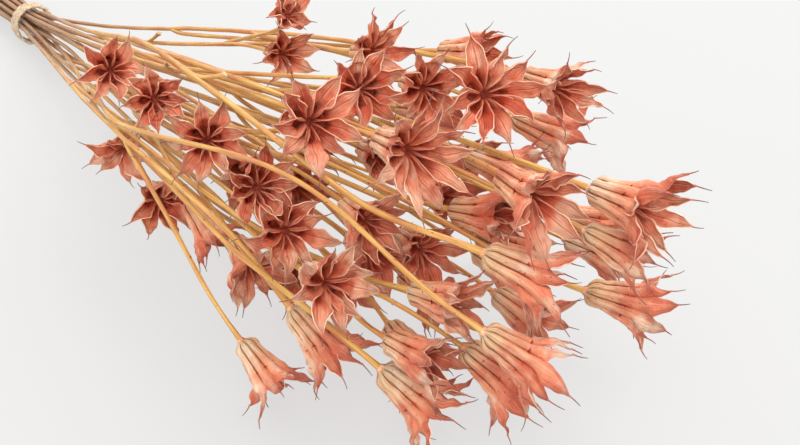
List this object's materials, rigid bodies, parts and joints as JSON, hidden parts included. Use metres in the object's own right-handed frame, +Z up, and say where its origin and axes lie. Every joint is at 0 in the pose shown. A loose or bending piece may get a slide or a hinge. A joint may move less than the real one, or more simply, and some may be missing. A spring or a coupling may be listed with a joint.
{
  "type": "tied bunch of dried nigella seed pods",
  "caption": "Dried nigella seed pods on ochre stems, split open in coral red and pale peach, tied with twine in a bunch that lies on its side.",
  "frame": {"origin": "centre of the tie's flat underside, on the surface the bunch lies on", "axes": "+X along the bunch from the cut stem ends to the seed pods, +Z up"},
  "size_m": [0.565, 0.1492, 0.1276],
  "materials": {
    "pod": "matt",
    "stem": "matt",
    "twine": "matt"
  },
  "bodies": {
    "root": {"pod_01": "pod", "pod_02": "pod", "pod_03": "pod", "pod_04": "pod", "pod_05": "pod", "pod_06": "pod", "pod_07": "pod", "pod_08": "pod", "pod_09": "pod", "pod_10": "pod", "pod_11": "pod", "pod_12": "pod", "pod_13": "pod", "pod_14": "pod", "pod_15": "pod", "pod_16": "pod", "pod_17": "pod", "pod_18": "pod", "pod_19": "pod", "pod_20": "pod", "pod_21": "pod", "pod_22": "pod", "pod_23": "pod", "pod_24": "pod", "pod_25": "pod", "pod_26": "pod", "pod_27": "pod", "pod_28": "pod", "pod_29": "pod", "pod_30": "pod", "pod_31": "pod", "pod_32": "pod", "pod_33": "pod", "pod_34": "pod", "pod_35": "pod", "pod_36": "pod", "pod_37": "pod", "pod_38": "pod", "pod_39": "pod", "pod_40": "pod", "pod_41": "pod", "pod_42": "pod", "spray_13": "pod", "spray_14": "pod", "spray_15": "pod", "spray_16": "pod", "stem_01": "stem", "stem_02": "stem", "stem_03": "stem", "stem_04": "stem", "stem_05": "stem", "stem_06": "stem", "stem_07": "stem", "stem_08": "stem", "stem_09": "stem", "stem_10": "stem", "stem_11": "stem", "stem_12": "stem", "tie": "twine"}
  },
  "joints": []
}
